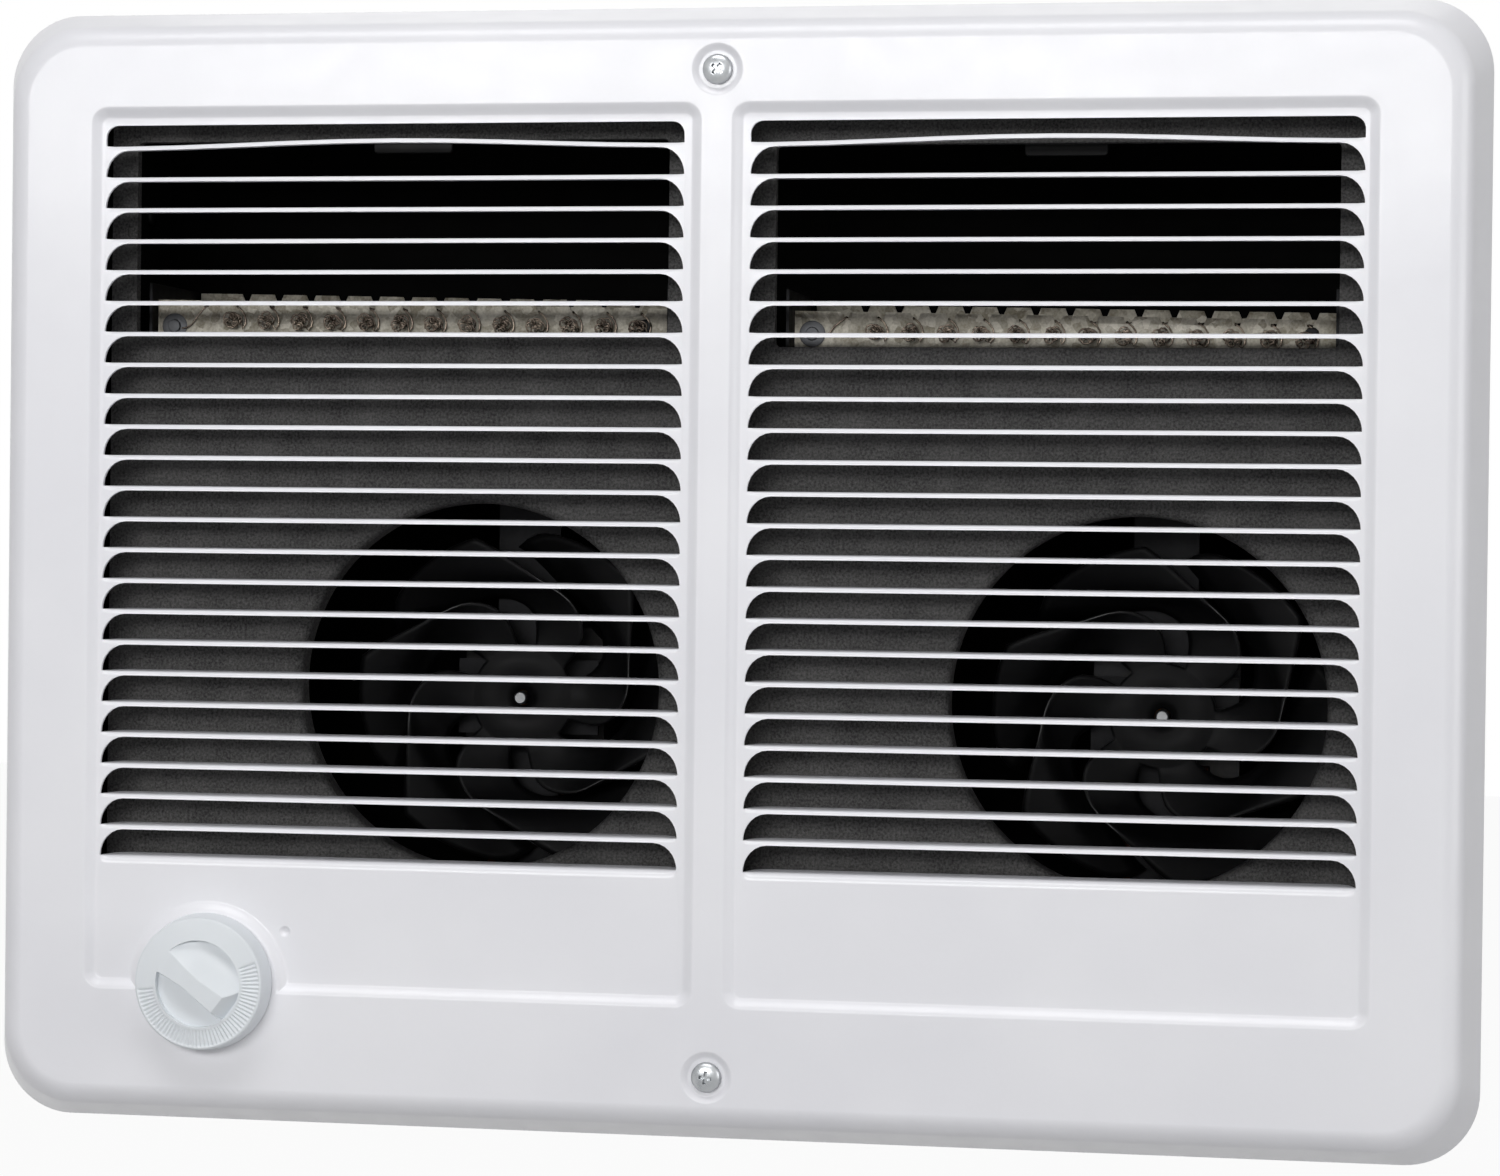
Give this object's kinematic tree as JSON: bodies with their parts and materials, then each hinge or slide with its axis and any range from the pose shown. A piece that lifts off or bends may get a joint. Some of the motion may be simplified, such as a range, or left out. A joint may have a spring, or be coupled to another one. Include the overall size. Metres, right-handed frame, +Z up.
{
  "type": "wall heater",
  "caption": "In-wall fan heater: open-coil heating elements and motor fans in a recessed steel can, behind a louvred steel grille cover with a turning thermostat knob.",
  "frame": {"origin": "centre of the wall can's flat back, where it rests against the back of the wall cavity", "axes": "+Y into the wall, the front faces -Y, +X to the right of someone facing the heater, +Z up"},
  "size_m": [0.502, 0.1272, 0.378],
  "materials": {
    "galvanised": "galvanised sheet",
    "white_paint": "satin baked enamel",
    "charcoal_paint": "matt textured powder coat",
    "zinc": "bright zinc plate",
    "black_blade": "black paint with bare cut edges",
    "steel": "ground steel",
    "lamination": "varnished laminations",
    "bronze": "sintered bronze",
    "enamelled_wire": "enamelled copper wire under tape",
    "mica": "pressed mica board",
    "nichrome": "oxidised resistance wire",
    "black_phenolic": "moulded phenolic",
    "white_plastic": "satin moulded plastic",
    "green_zinc": "green plated screw"
  },
  "bodies": {
    "housing": {"wall_can": "galvanised", "grille_cover": "white_paint", "grille_screw_top": "zinc", "grille_screw_bottom": "zinc", "deck_left": "charcoal_paint", "deck_right": "charcoal_paint", "deck_screw_top_left": "zinc", "deck_screw_bottom_left": "zinc", "deck_screw_top_right": "zinc", "deck_screw_bottom_right": "zinc", "motor_strap_left": "galvanised", "motor_strap_right": "galvanised", "bearing_bridge_front_left": "zinc", "bearing_bridge_rear_left": "zinc", "bearing_bridge_front_right": "zinc", "bearing_bridge_rear_right": "zinc", "sleeve_bearing_front_left": "bronze", "sleeve_bearing_rear_left": "bronze", "sleeve_bearing_front_right": "bronze", "sleeve_bearing_rear_right": "bronze", "stator_stack_left": "lamination", "stator_stack_right": "lamination", "winding_left": "enamelled_wire", "winding_right": "enamelled_wire", "motor_bolt_a_left": "zinc", "motor_bolt_b_left": "zinc", "motor_bolt_a_right": "zinc", "motor_bolt_b_right": "zinc", "mica_board_front_left": "mica", "mica_board_rear_left": "mica", "mica_board_front_right": "mica", "mica_board_rear_right": "mica", "element_coil_left": "nichrome", "element_coil_right": "nichrome", "element_cheek_a_left": "galvanised", "element_cheek_b_left": "galvanised", "element_cheek_a_right": "galvanised", "element_cheek_b_right": "galvanised", "element_terminal_a_left": "steel", "element_terminal_b_left": "steel", "element_terminal_a_right": "steel", "element_terminal_b_right": "steel", "limit_cutout_left": "black_phenolic", "limit_cutout_right": "black_phenolic", "thermostat_body": "black_phenolic", "thermostat_bush": "bronze", "thermostat_nut": "zinc", "cable_connector": "zinc", "cable_locknut": "zinc", "earth_screw": "green_zinc"},
    "fan_rotor_left": {"fan_left": "black_blade", "motor_shaft_left": "steel", "rotor_left": "lamination"},
    "fan_rotor_right": {"fan_right": "black_blade", "motor_shaft_right": "steel", "rotor_right": "lamination"},
    "thermostat_dial": {"thermostat_knob": "white_plastic", "thermostat_shaft": "steel"}
  },
  "joints": [
    {"name": "fan_left_spin", "type": "hinge", "parent": "housing", "child": "fan_rotor_left", "pos_m": [-0.0775, -0.0563, -0.0443], "axis": [0, 1, 0], "continuous": true},
    {"name": "fan_right_spin", "type": "hinge", "parent": "housing", "child": "fan_rotor_right", "pos_m": [0.1446, -0.0563, -0.0466], "axis": [0, 1, 0], "continuous": true},
    {"name": "thermostat_turn", "type": "hinge", "parent": "housing", "child": "thermostat_dial", "pos_m": [-0.1718, -0.115, -0.1395], "axis": [0, 1, 0], "range_deg": [-30, 240]}
  ]
}
